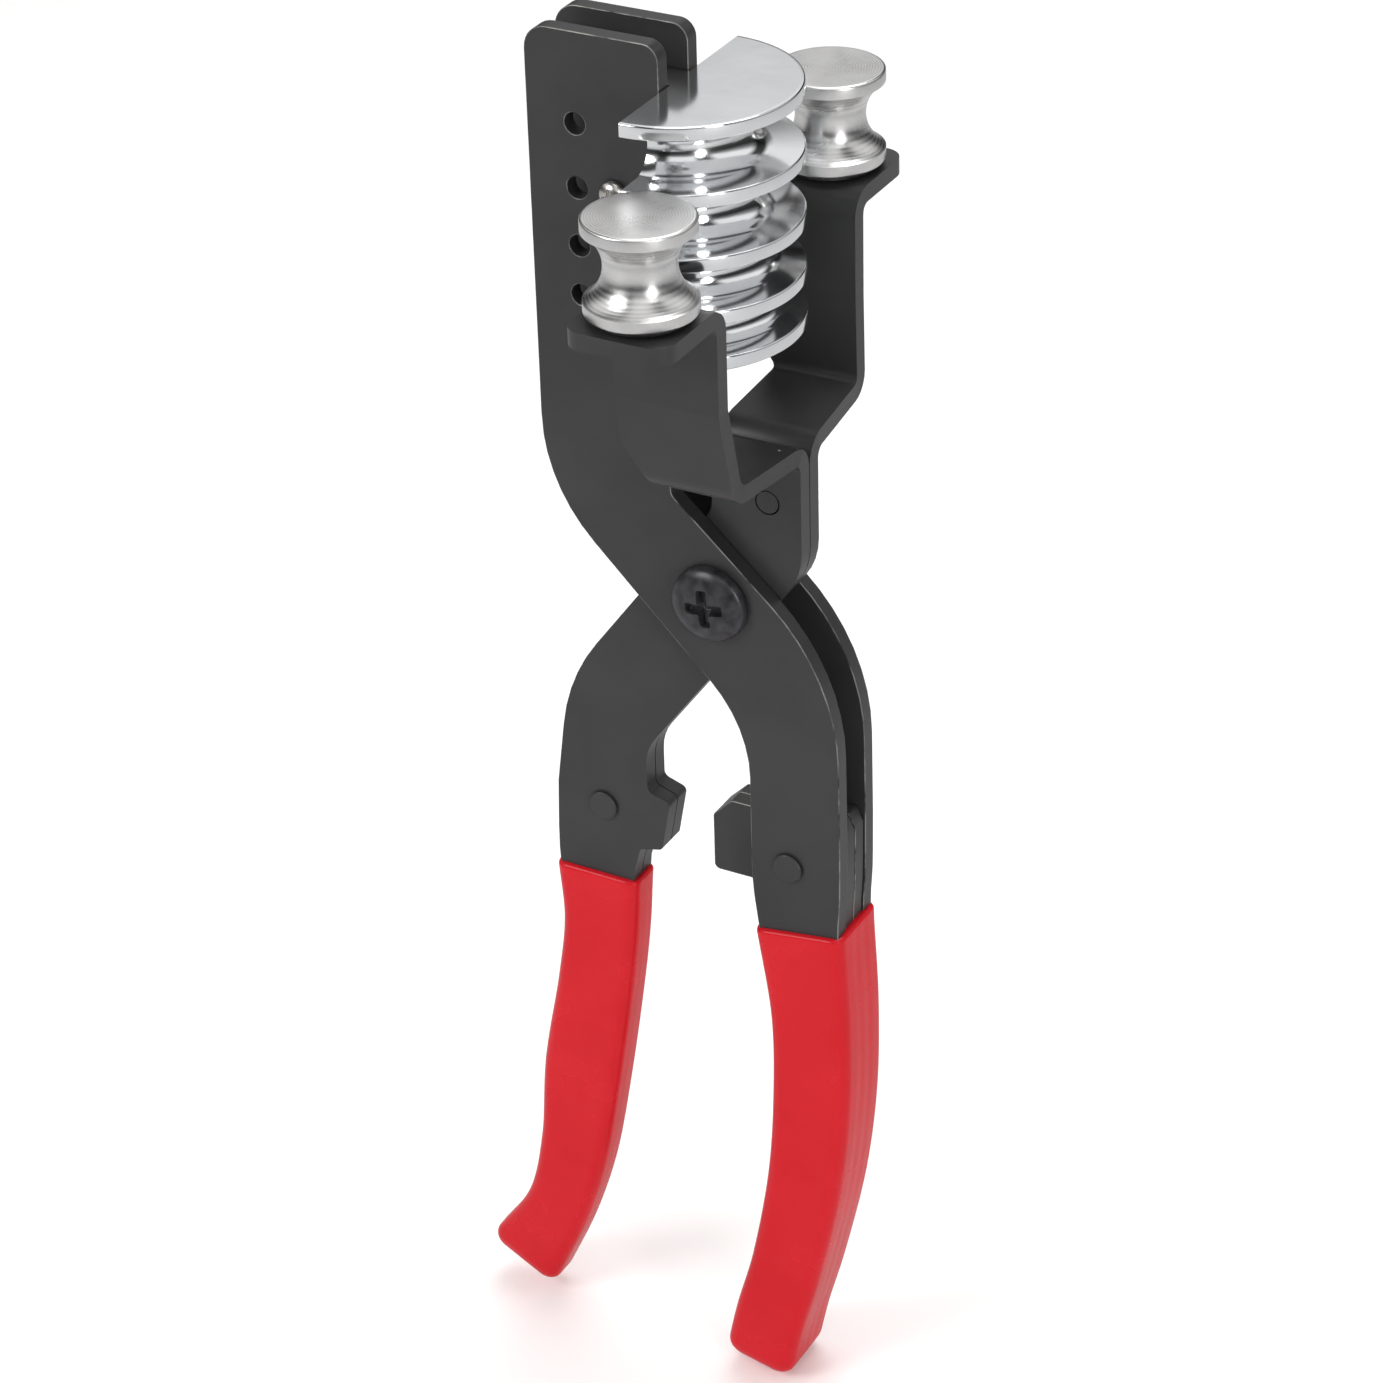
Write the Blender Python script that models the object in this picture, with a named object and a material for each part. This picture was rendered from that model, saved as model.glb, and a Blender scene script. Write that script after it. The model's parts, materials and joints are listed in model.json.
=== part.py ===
"""Plier-type tube bender, modelled as an assembly of separate pieces.

Two arms cross at a pivot screw.  The former arm carries a chromed half-round bending former with four
grooves, and the roller arm carries a forked yoke with two grooved rollers.  Squeezing the handles draws
the rollers past the former and wraps a tube round one of its grooves.

All sizes below are millimetres; MM turns them into Blender's metres.  Positions are measured from the
pivot axis: X to the right across the arms, Y along the pivot axis to the back, Z up to the jaws.
"""

import math

import bmesh
import bpy
from mathutils import Matrix, Vector

MM = 0.001

# ---- sheet metal and fits -------------------------------------------------------------------------
PLATE = 3.3             # thickness of every steel plate
GAP = 0.3               # clearance between neighbouring pieces
CHORD_ERROR = 0.06      # furthest that a chord may cut inside its arc
INNER_Y = GAP / 2       # inner face of the two middle layers, from the centre plane
MIDDLE_Y = INNER_Y + PLATE
OUTER_Y = MIDDLE_Y + GAP
STACK_Y = OUTER_Y + PLATE

# ---- former and its arm ---------------------------------------------------------------------------
FORMER_X = -7.5         # former axis, left of the pivot
FORMER_TOP = 98.0       # former's top face, above the pivot
FORMER_RADIUS = 21.65
RIM = 2.65              # thickness of each of the five rims
GROOVES = (9.65, 9.25, 7.6, 6.2)
GROOVE_DRAFT = 0.15     # lean of a groove's straight walls
JAW_WIDTH = 26.5
JAW_RISE = 8.3          # jaw plates above the former's top face
JAW_CORNER = 4.5
THROAT_Z = 20.2         # where the jaw's straight edge turns into the crossing
CROSS_SLOPE = 42.3      # lean of the crossing's upper edge, in degrees
SHOULDER_RADIUS = 42.0
BELLY_Z = 16.6
BELLY_RADIUS = 34.0
CROTCH_RADIUS = 27.0
HANDLE_IN = 7.1         # inner edge of the former arm's handle
HANDLE_WIDTH = 18.3
HOLE_COLUMN = 17.2      # column of small holes, left of the former axis
HOLE_DROP = 1.3         # holes below the middles of the grooves
HOLE_RADIUS = 2.1
SPACER_TOP = -43.2
SPACER_INSET = 1.3
STOP_X = -2.8           # face of the stop lug that the other arm's lug meets
STOP_TOP = -44.5
STOP_FOOT = -60.6
STOP_CHAMFER = 4.0

# ---- roller arm -----------------------------------------------------------------------------------
CLOSING = 10.4          # degrees from the modelled pose to closed handles
NECK_LEFT = -1.4
NECK_RIGHT = 16.7
BAND_SLOPE = 53.5       # lean of the roller arm's crossing, in degrees
BAND_RIGHT = 9.0        # crossing's right edge, from the pivot axis
BAND_LEFT = 11.2        # crossing's left edge, from the pivot axis
LUG_TOP = -50.4         # stop lug, in the closed pose
LUG_FOOT = -61.4
LUG_REACH = 4.8         # how far the lug stands out of the handle's inner edge
SHOULDER_IN = 3.2       # shoulder's outer edge, inside the handle's outer edge
SHELF_Z = 31.7          # middle of the yoke's shelf at its inner end
SHELF_RISE = 1.2
LEG_CORNER_RISE = 9.3   # foot of a leg's straight left edge, above the shelf
LEG_FLARE = 8.0         # length over which a leg widens from the shelf to its full width
LEG_STRAIGHT_RISE = 18.3
LEG_LEAN = 2.2          # how far a leg's foot stands inside its upright part
YOKE_MARGIN = 0.2       # leg and flange beyond the roller, on each side
FLANGE_MARGIN = 0.4     # flange's end beyond the roller
FLANGE_CORNER = 4.0
BEND = 1.75 + PLATE / 2  # bend radius at the middle of the sheet

# ---- rollers --------------------------------------------------------------------------------------
ROLLER_X = 3.6
ROLLER_CLEARANCE = 3.65  # least space between the rims of a roller and the former
ROLLER_RADIUS = 10.0
ROLLER_HEIGHT = 17.4
ROLLER_DROP = 9.1       # roller's top face below the former's
ROLLER_RIM = 2.3
WAIST_DEPTH = 3.6       # depth of the roller's waist
JOURNAL_RADIUS = 3.0
WASHER_THICK = 0.6
WASHER_INSET = 1.4      # washer's edge inside the roller's
CLIP_THICK = 0.8
CLIP_REACH = 1.9        # clip's edge outside the journal
CLIP_CLEARANCE = 0.8    # clip's edge to the start of the leg's bend
CLIP_GROOVE = 0.7       # depth of the clip groove in the journal
JOURNAL_TAIL = 1.4

ROLLER_Y = FORMER_RADIUS + ROLLER_CLEARANCE + ROLLER_RADIUS
ROLLER_TOP = FORMER_TOP - ROLLER_DROP
CLIP_RADIUS = JOURNAL_RADIUS + CLIP_REACH
LEG_Y = ROLLER_Y - CLIP_RADIUS - CLIP_CLEARANCE - BEND  # middle of the yoke's upright legs
LEG_FOOT_Y = LEG_Y - LEG_LEAN
FLANGE_END_Y = ROLLER_Y + ROLLER_RADIUS + FLANGE_MARGIN

# ---- fasteners ------------------------------------------------------------------------------------
PIVOT_RADIUS = 4.0
PIVOT_HEAD_RADIUS = PIVOT_RADIUS + 3.5
PIVOT_HEAD_HEIGHT = 3.4
PIVOT_RECESS = 3.5
PIVOT_WASHER_RADIUS = PIVOT_RADIUS + 4.0
PIVOT_WASHER_THICK = 1.2
PIVOT_NUT_FLATS = 2 * PIVOT_RADIUS + 5.0
PIVOT_NUT_HEIGHT = 6.5
FORMER_SCREW_DROP = 20.7
FORMER_SCREW_BACK = 9.7
FORMER_SCREW_RADIUS = 1.5
FORMER_HEAD_RADIUS = FORMER_SCREW_RADIUS + 1.2
FORMER_HEAD_HEIGHT = 1.9
FORMER_RECESS = 1.5
FORMER_NUT_FLATS = 2 * FORMER_SCREW_RADIUS + 2.5
FORMER_NUT_HEIGHT = 2.4
TENON_EDGE = 0.5        # former's metal beyond its screw hole
TENON = FORMER_SCREW_BACK + FORMER_SCREW_RADIUS + GAP + TENON_EDGE
THREAD_TAIL = 1.0       # screw thread past its nut
RIVET_RADIUS = 2.2
RIVET_HEAD_RADIUS = RIVET_RADIUS + 0.8
RIVET_HEAD_HEIGHT = 0.5
FORMER_RIVETS = ((14.9, -53.4), (14.4, -140.0))
ROLLER_RIVETS = ((-26.6, -53.0), (-37.6, -140.0))
NECK_RIVET = (9.9, 21.0)

# ---- handles and grips ----------------------------------------------------------------------------
# Each row is a point on the handle's centre line and half the plate's width there.
FORMER_HANDLE = ((16.4, -46.0, 9.3), (16.4, -58.0, 9.2), (16.8, -68.0, 8.4), (18.7, -88.0, 7.4),
                 (18.6, -108.0, 7.2), (16.7, -128.0, 6.8), (12.6, -149.0, 6.4), (8.6, -164.0, 6.4),
                 (6.2, -175.0, 6.4))
ROLLER_HANDLE = ((-27.4, -51.0, 9.2), (-28.7, -66.0, 8.3), (-28.9, -82.0, 7.2), (-31.0, -98.0, 7.2),
                 (-34.7, -119.0, 7.5), (-37.6, -139.0, 6.5), (-42.4, -156.0, 5.9), (-50.8, -171.6, 7.3))
HANDLE_END_CORNER = 3.0
FORMER_GRIP_TOP = -67.0
FORMER_GRIP_TILT = 6.0  # degrees by which the dipped edge falls towards the other handle
ROLLER_GRIP_TOP = -68.7
ROLLER_GRIP_TILT = 0.0
GRIP_WALL = 0.8
GRIP_EDGE = 2.2
GRIP_CAP = 2.0          # plastic beyond the plates' lower ends

COLOURS = {
    "black_paint": ((0.045, 0.045, 0.048), 0.38, 0.0),
    "chrome": ((0.80, 0.81, 0.83), 0.06, 1.0),
    "turned_steel": ((0.62, 0.61, 0.60), 0.28, 1.0),
    "zinc": ((0.70, 0.69, 0.66), 0.30, 1.0),
    "blackened_steel": ((0.03, 0.03, 0.032), 0.30, 1.0),
    "red_vinyl": ((0.62, 0.012, 0.018), 0.22, 0.0),
}


# ---- scene helpers --------------------------------------------------------------------------------

def clear_scene():
    """Remove whatever the file opened with."""
    for item in list(bpy.data.objects):
        bpy.data.objects.remove(item, do_unlink=True)


def material(name):
    """Return the named finish as a Principled BSDF material."""
    found = bpy.data.materials.get(name)
    if found:
        return found
    colour, roughness, metallic = COLOURS[name]
    made = bpy.data.materials.new(name)
    made.use_nodes = True
    shader = made.node_tree.nodes["Principled BSDF"]
    shader.inputs["Base Color"].default_value = (*colour, 1.0)
    shader.inputs["Roughness"].default_value = roughness
    shader.inputs["Metallic"].default_value = metallic
    made.diffuse_color = (*colour, 1.0)
    return made


def frame_empty(name, parent=None, at=(0.0, 0.0, 0.0)):
    """Add an empty that carries the pieces of one moving body."""
    empty = bpy.data.objects.new(name, None)
    bpy.context.collection.objects.link(empty)
    empty.parent = parent
    empty.location = Vector(at) * MM
    return empty


def add_piece(name, mesh, finish, parent, at=(0.0, 0.0, 0.0), turn_x=0.0):
    """Turn a bmesh in millimetres into a named object under its body's empty."""
    bmesh.ops.recalc_face_normals(mesh, faces=mesh.faces)
    bmesh.ops.scale(mesh, vec=(MM, MM, MM), verts=mesh.verts)
    data = bpy.data.meshes.new(name)
    mesh.to_mesh(data)
    mesh.free()
    data.materials.append(material(finish))
    data.shade_smooth()
    data.set_sharp_from_angle(angle=math.radians(35))
    piece = bpy.data.objects.new(name, data)
    bpy.context.collection.objects.link(piece)
    piece.parent = parent
    piece.location = Vector(at) * MM
    piece.rotation_euler = (math.radians(turn_x), 0.0, 0.0)
    return piece


def cut(piece, cutter):
    """Cut one object with another that is kept out of the render."""
    cutter.hide_render = True
    cutter.display_type = "WIRE"
    modifier = piece.modifiers.new(cutter.name, "BOOLEAN")
    modifier.operation = "DIFFERENCE"
    modifier.solver = "EXACT"
    modifier.object = cutter


# ---- outlines -------------------------------------------------------------------------------------

def fillet(before, corner, after, radius, step=12.0):
    """Return points on the arc of this radius that rounds off a corner."""
    corner = Vector(corner)
    to_before = (Vector(before) - corner).normalized()
    to_after = (Vector(after) - corner).normalized()
    opening = to_before.angle(to_after)
    turn = math.pi - opening
    if radius <= 0.0 or turn < 1e-4:
        return [corner]
    reach = radius / math.tan(opening / 2)
    centre = corner + (to_before + to_after).normalized() * radius / math.sin(opening / 2)
    start = corner + to_before * reach - centre
    side = 1.0 if to_before.cross(to_after) < 0.0 else -1.0
    finest = math.degrees(2 * math.acos(1 - min(0.5, CHORD_ERROR / radius)))
    count = max(2, math.ceil(math.degrees(turn) / min(step, finest)))
    return [centre + Matrix.Rotation(side * turn * k / count, 2) @ start for k in range(count + 1)]


def rounded(corners):
    """Return a closed outline from corners given as (x, z, radius)."""
    outline = []
    for index, (x, z, radius) in enumerate(corners):
        before = corners[index - 1][:2]
        after = corners[(index + 1) % len(corners)][:2]
        outline += fillet(before, (x, z), after, radius)
    return outline


def circle(x, z, radius, count=20):
    """Return a round hole's outline."""
    angles = [math.tau * k / count for k in range(count)]
    return [Vector((x + radius * math.cos(a), z + radius * math.sin(a))) for a in angles]


def centre_line(rows, steps=3):
    """Return points, half widths and normals along a smooth curve through the rows."""
    rows = [Vector(row) for row in rows]
    padded = [rows[0] * 2 - rows[1], *rows, rows[-1] * 2 - rows[-2]]
    samples = []
    for a, b, c, d in zip(padded, padded[1:], padded[2:], padded[3:]):
        for k in range(steps):
            u = k / steps
            samples.append(0.5 * ((2 * b) + (c - a) * u + (2 * a - 5 * b + 4 * c - d) * u ** 2
                                  + (3 * b - a - 3 * c + d) * u ** 3))
    samples.append(rows[-1])
    line = []
    for index, sample in enumerate(samples):
        ahead = samples[min(index + 1, len(samples) - 1)] - samples[max(index - 1, 0)]
        along = Vector((ahead.x, ahead.y)).normalized()
        line.append((Vector((sample.x, sample.y)), sample.z, Vector((-along.y, along.x))))
    return line


def handle_sides(rows, extra=0.0, beyond=0.0):
    """Return a handle's right side going down and left side going up, with a rounded lower end."""
    line = centre_line(rows)
    last, half, normal = line[-1]
    along = Vector((normal.y, -normal.x))
    right = [point + side * (width + extra) for point, width, side in line[:-1]]
    left = [point - side * (width + extra) for point, width, side in line[:-1]]
    foot = last + along * beyond
    right_foot = foot + normal * (half + extra)
    left_foot = foot - normal * (half + extra)
    radius = HANDLE_END_CORNER + extra
    end = fillet(right[-1], right_foot, left_foot, radius) + fillet(right_foot, left_foot, left[-1], radius)
    return right, end, left[::-1]


def opened(x, z, angle=CLOSING):
    """Swing a point of the closed roller arm back to the modelled pose."""
    turn = math.radians(angle)
    return (x * math.cos(turn) + z * math.sin(turn), z * math.cos(turn) - x * math.sin(turn))


# ---- solids ---------------------------------------------------------------------------------------

def prism(outline, holes=(), low=0.0, high=1.0):
    """Extrude an outline in the XZ plane, with its holes, from Y = low to Y = high."""
    mesh = bmesh.new()
    edges = []
    for loop in (outline, *holes):
        verts = [mesh.verts.new((p[0], low, p[1])) for p in loop]
        edges += [mesh.edges.new((a, b)) for a, b in zip(verts, verts[1:] + verts[:1])]
    bmesh.ops.triangle_fill(mesh, use_beauty=True, use_dissolve=False, edges=edges)
    extruded = bmesh.ops.extrude_face_region(mesh, geom=list(mesh.faces), use_keep_orig=True)
    moved = [item for item in extruded["geom"] if isinstance(item, bmesh.types.BMVert)]
    bmesh.ops.translate(mesh, vec=(0.0, high - low, 0.0), verts=moved)
    return mesh


def turned(profile, segments=24, ring=False):
    """Spin a profile of (radius, height) about Z; a ring's profile closes on itself."""
    mesh = bmesh.new()
    loops = []
    for radius, height in profile:
        count = 1 if radius == 0.0 else segments
        angles = [math.tau * k / segments for k in range(count)]
        loops.append([mesh.verts.new((radius * math.cos(a), radius * math.sin(a), height)) for a in angles])
    pairs = list(zip(loops, loops[1:] + loops[:1])) if ring else list(zip(loops, loops[1:]))
    for lower, upper in pairs:
        for k in range(segments):
            corners = [lower[k % len(lower)], lower[(k + 1) % len(lower)],
                       upper[(k + 1) % len(upper)], upper[k % len(upper)]]
            mesh.faces.new(list(dict.fromkeys(corners)))
    return mesh


def washer_mesh(inner, outer, low, high):
    """Return a flat ring."""
    return turned([(inner, low), (outer, low), (outer, high), (inner, high)], ring=True)


def hex_nut_mesh(flats, bore, height):
    """Return a hexagonal nut that stands on Z = 0."""
    corner = flats / math.sqrt(3)
    points = [(corner * math.cos(math.pi * k / 3), corner * math.sin(math.pi * k / 3)) for k in range(6)]
    mesh = prism([Vector(p) for p in points], [circle(0.0, 0.0, bore)], 0.0, height)
    bmesh.ops.rotate(mesh, matrix=Matrix.Rotation(math.radians(-90), 3, "X"), verts=mesh.verts)
    zs = min(vert.co.z for vert in mesh.verts)
    bmesh.ops.translate(mesh, vec=(0.0, 0.0, -zs), verts=mesh.verts)
    return mesh


def dome(radius, height, base, brim=0.25, count=5):
    """Return the profile of a low domed head, from its brim up to its crown."""
    edge = base + height * brim
    angles = [math.pi / 2 * k / count for k in range(count + 1)]
    arc = [(radius * math.cos(a), edge + (height * (1 - brim)) * math.sin(a)) for a in angles[:-1]]
    return [(radius, base), *arc, (0.0, base + height)]


def cut_cross(piece, size, depth, top, parent, at, turn_x):
    """Cut a cross recess, narrower at its bottom, into a screw head that reaches up to Z = top."""
    for index, (reach, width) in enumerate(((size, size * 0.32), (size * 0.32, size))):
        mesh = bmesh.new()
        for vert in bmesh.ops.create_cube(mesh, size=2.0)["verts"]:
            upper = vert.co.z > 0.0
            taper = 1.0 if upper else 0.55
            height = top + 1.0 if upper else top - depth
            vert.co = (vert.co.x * reach * taper, vert.co.y * width * taper, height)
        cut(piece, add_piece(f"{piece.name}_recess_{index}", mesh, "blackened_steel", parent, at, turn_x))


# ---- former arm -----------------------------------------------------------------------------------

def crossing_height(x):
    """Return the height of the former arm's upper crossing edge at x."""
    edge = FORMER_X - GAP
    return THROAT_Z - (x - edge) * math.tan(math.radians(CROSS_SLOPE))


def former_arm_outline():
    """Return the outline shared by the former arm's two outer plates."""
    right, end, left = handle_sides(FORMER_HANDLE)
    edge = FORMER_X - GAP
    back = edge - JAW_WIDTH
    handle_out = HANDLE_IN + HANDLE_WIDTH
    crotch_z = BELLY_Z - (HANDLE_IN - back)
    corners = [
        (back, FORMER_TOP + JAW_RISE, JAW_CORNER),
        (edge, FORMER_TOP + JAW_RISE, JAW_CORNER * 0.7),
        (edge, THROAT_Z, 2.0),
        (handle_out, crossing_height(handle_out), SHOULDER_RADIUS),
        (right[0].x, right[0].y, 0.0),
    ]
    upper = rounded([*corners, (left[-1].x, left[-1].y, 0.0), (HANDLE_IN, crotch_z, CROTCH_RADIUS),
                     (back, BELLY_Z, BELLY_RADIUS)])
    turn = upper.index(Vector((right[0].x, right[0].y)))
    return upper[:turn] + right + end + left + upper[turn + 2:]


def spacer_outline():
    """Return the outline of the plates that fill the handle and carry the stop lug."""
    right, end, left = handle_sides(FORMER_HANDLE, extra=-SPACER_INSET / 4)
    top_right = HANDLE_IN + HANDLE_WIDTH - SPACER_INSET
    low = [point for point in left if point.y < STOP_FOOT - 1.0]
    down = [point for point in right if point.y < SPACER_TOP - 2.0]
    crest = rounded([
        (low[-1].x, low[-1].y, 0.0),
        (HANDLE_IN, STOP_FOOT, 0.8),
        (STOP_X, STOP_FOOT, 1.2),
        (STOP_X, STOP_TOP - STOP_CHAMFER, 1.0),
        (STOP_X + STOP_CHAMFER, STOP_TOP, 1.0),
        (HANDLE_IN, STOP_TOP, 0.6),
        (HANDLE_IN + 1.2, SPACER_TOP, 0.6),
        (top_right, SPACER_TOP, 1.0),
        (down[0].x, down[0].y, 0.0),
    ])
    return down + end + low[:-1] + crest[:-1]


def add_former_arm(root):
    """Add the former arm's plates, spacers, rivets and grip."""
    holes = [circle(0.0, 0.0, PIVOT_RADIUS + GAP)]
    screw = (FORMER_X - FORMER_SCREW_BACK, FORMER_TOP - FORMER_SCREW_DROP)
    holes.append(circle(*screw, FORMER_SCREW_RADIUS + GAP, 16))
    holes += [circle(FORMER_X - HOLE_COLUMN, z - HOLE_DROP, HOLE_RADIUS, 16) for z in groove_heights()]
    rivets = [circle(x, z, RIVET_RADIUS + GAP, 16) for x, z in FORMER_RIVETS]
    outline = former_arm_outline()
    for name, low in (("former_arm_plate_front", -STACK_Y), ("former_arm_plate_back", OUTER_Y)):
        add_piece(name, prism(outline, holes + rivets, low, low + PLATE), "black_paint", root)
    filler = spacer_outline()
    for name, low in (("former_arm_spacer_front", -MIDDLE_Y), ("former_arm_spacer_back", INNER_Y)):
        add_piece(name, prism(filler, rivets, low, low + PLATE), "black_paint", root)
    add_headed_rivet("former_arm_rivet", FORMER_RIVETS[0], STACK_Y, root)
    add_flush_rivet("former_arm_tail_rivet", FORMER_RIVETS[1], STACK_Y, root)
    add_grip("former_arm_grip", FORMER_HANDLE, FORMER_GRIP_TOP, FORMER_GRIP_TILT, STACK_Y, root)


def add_flush_rivet(name, place, half_stack, parent):
    """Add a rivet whose ends are dressed level with the stack of plates."""
    profile = [(0.0, -half_stack), (RIVET_RADIUS, -half_stack),
               (RIVET_RADIUS, half_stack), (0.0, half_stack)]
    add_piece(name, turned(profile, 20), "black_paint", parent, (place[0], 0.0, place[1]), 90.0)


def add_headed_rivet(name, place, half_stack, parent):
    """Add a rivet with a low flat head on both faces of a stack of plates."""
    face = half_stack + GAP
    top = face + RIVET_HEAD_HEIGHT
    soft = RIVET_HEAD_HEIGHT * 0.4
    head = [(RIVET_RADIUS, face), (RIVET_HEAD_RADIUS, face), (RIVET_HEAD_RADIUS, top - soft),
            (RIVET_HEAD_RADIUS - soft, top), (0.0, top)]
    profile = [(r, -h) for r, h in reversed(head)] + head
    add_piece(name, turned(profile, 20), "black_paint", parent, (place[0], 0.0, place[1]), 90.0)


def add_grip(name, rows, top, tilt, half_stack, parent):
    """Add a dipped grip: a closed sleeve round the handle, open at the top."""
    skin = GAP + GRIP_WALL
    right, end, left = handle_sides(rows, skin, GRIP_CAP + GAP)
    outer = trimmed(right + end + left, top, tilt)
    sleeve = prism(outer, (), -half_stack - skin, half_stack + skin)
    grip = add_piece(name, sleeve, "red_vinyl", parent)
    edge = grip.modifiers.new("soft_edge", "BEVEL")
    edge.width = GRIP_EDGE * MM
    edge.segments = 2
    edge.limit_method = "ANGLE"
    edge.angle_limit = math.radians(60)
    right, end, left = handle_sides(rows, GAP, GAP)
    core = prism(trimmed(right + end + left, top + 12.0, 0.0), (), -half_stack - GAP, half_stack + GAP)
    cut(grip, add_piece(name + "_core", core, "red_vinyl", parent))


def trimmed(outline, top, tilt):
    """Cut a handle's outline off at its right side's height top, falling to the left by tilt degrees."""
    rightmost = outline[0].x
    fall = math.tan(math.radians(tilt))
    over = [point.y - top + (rightmost - point.x) * fall for point in outline]
    kept = [point for point, height in zip(outline, over) if height < 0.0]
    first = next(k for k, height in enumerate(over) if height < 0.0)
    last = len(over) - 1 - next(k for k, height in enumerate(reversed(over)) if height < 0.0)
    ends = []
    for inside, outside in ((last, (last + 1) % len(over)), (first, first - 1)):
        share = over[inside] / (over[inside] - over[outside])
        ends.append(outline[inside].lerp(outline[outside], share))
    return kept + ends


# ---- bending former -------------------------------------------------------------------------------

def groove_heights():
    """Return the height of each groove's middle, from the top groove down."""
    heights = []
    z = FORMER_TOP - RIM
    for width in GROOVES:
        heights.append(z - width / 2)
        z -= width + RIM
    return heights


def former_profile(steps=6):
    """Return (radius, height) points down the former's grooved side."""
    chamfer = 0.3
    points = [(FORMER_RADIUS - chamfer, FORMER_TOP), (FORMER_RADIUS, FORMER_TOP - chamfer)]
    z = FORMER_TOP
    for width in GROOVES:
        half = width / 2
        wall = half - GROOVE_DRAFT
        middle = z - RIM - half
        arc = [math.pi * k / steps for k in range(1, steps)]
        points += [(FORMER_RADIUS, middle + half), (FORMER_RADIUS - half, middle + wall)]
        points += [(FORMER_RADIUS - half * (1 + math.sin(a)), middle + half * math.cos(a)) for a in arc]
        points += [(FORMER_RADIUS - half, middle - wall), (FORMER_RADIUS, middle - half)]
        z -= RIM + width
    points += [(FORMER_RADIUS, z - RIM + chamfer), (FORMER_RADIUS - chamfer, z - RIM)]
    return points


def close_former_end(mesh, ring, steps):
    """Close the former's top or foot: a fan over the half disc, and one face over the tenon."""
    arc, tenon = ring[:steps + 1], ring[steps + 1:]
    middle = steps // 2
    for k in range(steps):
        mesh.faces.new((arc[k], arc[k + 1], tenon[-1] if k < middle else tenon[0]))
    mesh.faces.new((arc[middle], tenon[0], tenon[-1]))
    mesh.faces.new(tenon)


def add_former(root, steps=16):
    """Add the half-round grooved former with its tenon between the plates."""
    half_tenon = OUTER_Y - GAP
    tenon = [(0.0, half_tenon), (-TENON, half_tenon), (-TENON, -half_tenon), (0.0, -half_tenon)]
    angles = [math.pi * k / steps - math.pi / 2 for k in range(steps + 1)]
    mesh = bmesh.new()
    rings = []
    for r, z in former_profile():
        section = [(r * math.cos(a), r * math.sin(a)) for a in angles] + tenon
        rings.append([mesh.verts.new((x, y, z)) for x, y in section])
    for upper, lower in zip(rings, rings[1:]):
        for k in range(len(upper)):
            ahead = (k + 1) % len(upper)
            mesh.faces.new((upper[k], lower[k], lower[ahead], upper[ahead]))
    for ring in (rings[0], rings[-1]):
        close_former_end(mesh, ring, steps)
    former = add_piece("bending_former", mesh, "chrome", root, (FORMER_X, 0.0, 0.0))
    place = (FORMER_X - FORMER_SCREW_BACK, 0.0, FORMER_TOP - FORMER_SCREW_DROP)
    bore = turned([(0.0, -2 * STACK_Y), (FORMER_SCREW_RADIUS + GAP, -2 * STACK_Y),
                   (FORMER_SCREW_RADIUS + GAP, 2 * STACK_Y), (0.0, 2 * STACK_Y)], 12)
    cut(former, add_piece("bending_former_bore", bore, "chrome", root, place, 90.0))
    add_former_screw(root, place)


def add_former_screw(root, place):
    """Add the cross-head screw and nut that hold the former."""
    seat = STACK_Y + GAP
    tail = seat + FORMER_NUT_HEIGHT + THREAD_TAIL
    profile = [(0.0, -tail), (FORMER_SCREW_RADIUS, -tail), (FORMER_SCREW_RADIUS, seat)]
    profile += dome(FORMER_HEAD_RADIUS, FORMER_HEAD_HEIGHT, seat)
    screw = add_piece("former_screw", turned(profile, 20), "zinc", root, place, 90.0)
    cut_cross(screw, FORMER_RECESS, FORMER_HEAD_HEIGHT * 0.7, seat + FORMER_HEAD_HEIGHT, root, place, 90.0)
    nut = hex_nut_mesh(FORMER_NUT_FLATS, FORMER_SCREW_RADIUS + GAP, FORMER_NUT_HEIGHT)
    add_piece("former_nut", nut, "zinc", root, (place[0], seat, place[2]), -90.0)


def add_pivot(root):
    """Add the pivot screw, its washer and its nut."""
    seat = STACK_Y + GAP
    nut_seat = seat + PIVOT_WASHER_THICK + GAP
    tail = nut_seat + PIVOT_NUT_HEIGHT + THREAD_TAIL
    profile = [(0.0, -tail), (PIVOT_RADIUS - 0.5, -tail), (PIVOT_RADIUS, 0.5 - tail), (PIVOT_RADIUS, seat)]
    profile += dome(PIVOT_HEAD_RADIUS, PIVOT_HEAD_HEIGHT, seat)
    centre = (0.0, 0.0, 0.0)
    screw = add_piece("pivot_screw", turned(profile, 28), "blackened_steel", root, centre, 90.0)
    cut_cross(screw, PIVOT_RECESS, PIVOT_HEAD_HEIGHT * 0.7, seat + PIVOT_HEAD_HEIGHT, root, centre, 90.0)
    washer = washer_mesh(PIVOT_RADIUS + GAP, PIVOT_WASHER_RADIUS, 0.0, PIVOT_WASHER_THICK)
    add_piece("pivot_washer", washer, "blackened_steel", root, (0.0, seat, 0.0), -90.0)
    nut = hex_nut_mesh(PIVOT_NUT_FLATS, PIVOT_RADIUS + GAP, PIVOT_NUT_HEIGHT)
    add_piece("pivot_nut", nut, "blackened_steel", root, (0.0, nut_seat, 0.0), -90.0)


# ---- roller arm -----------------------------------------------------------------------------------

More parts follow.
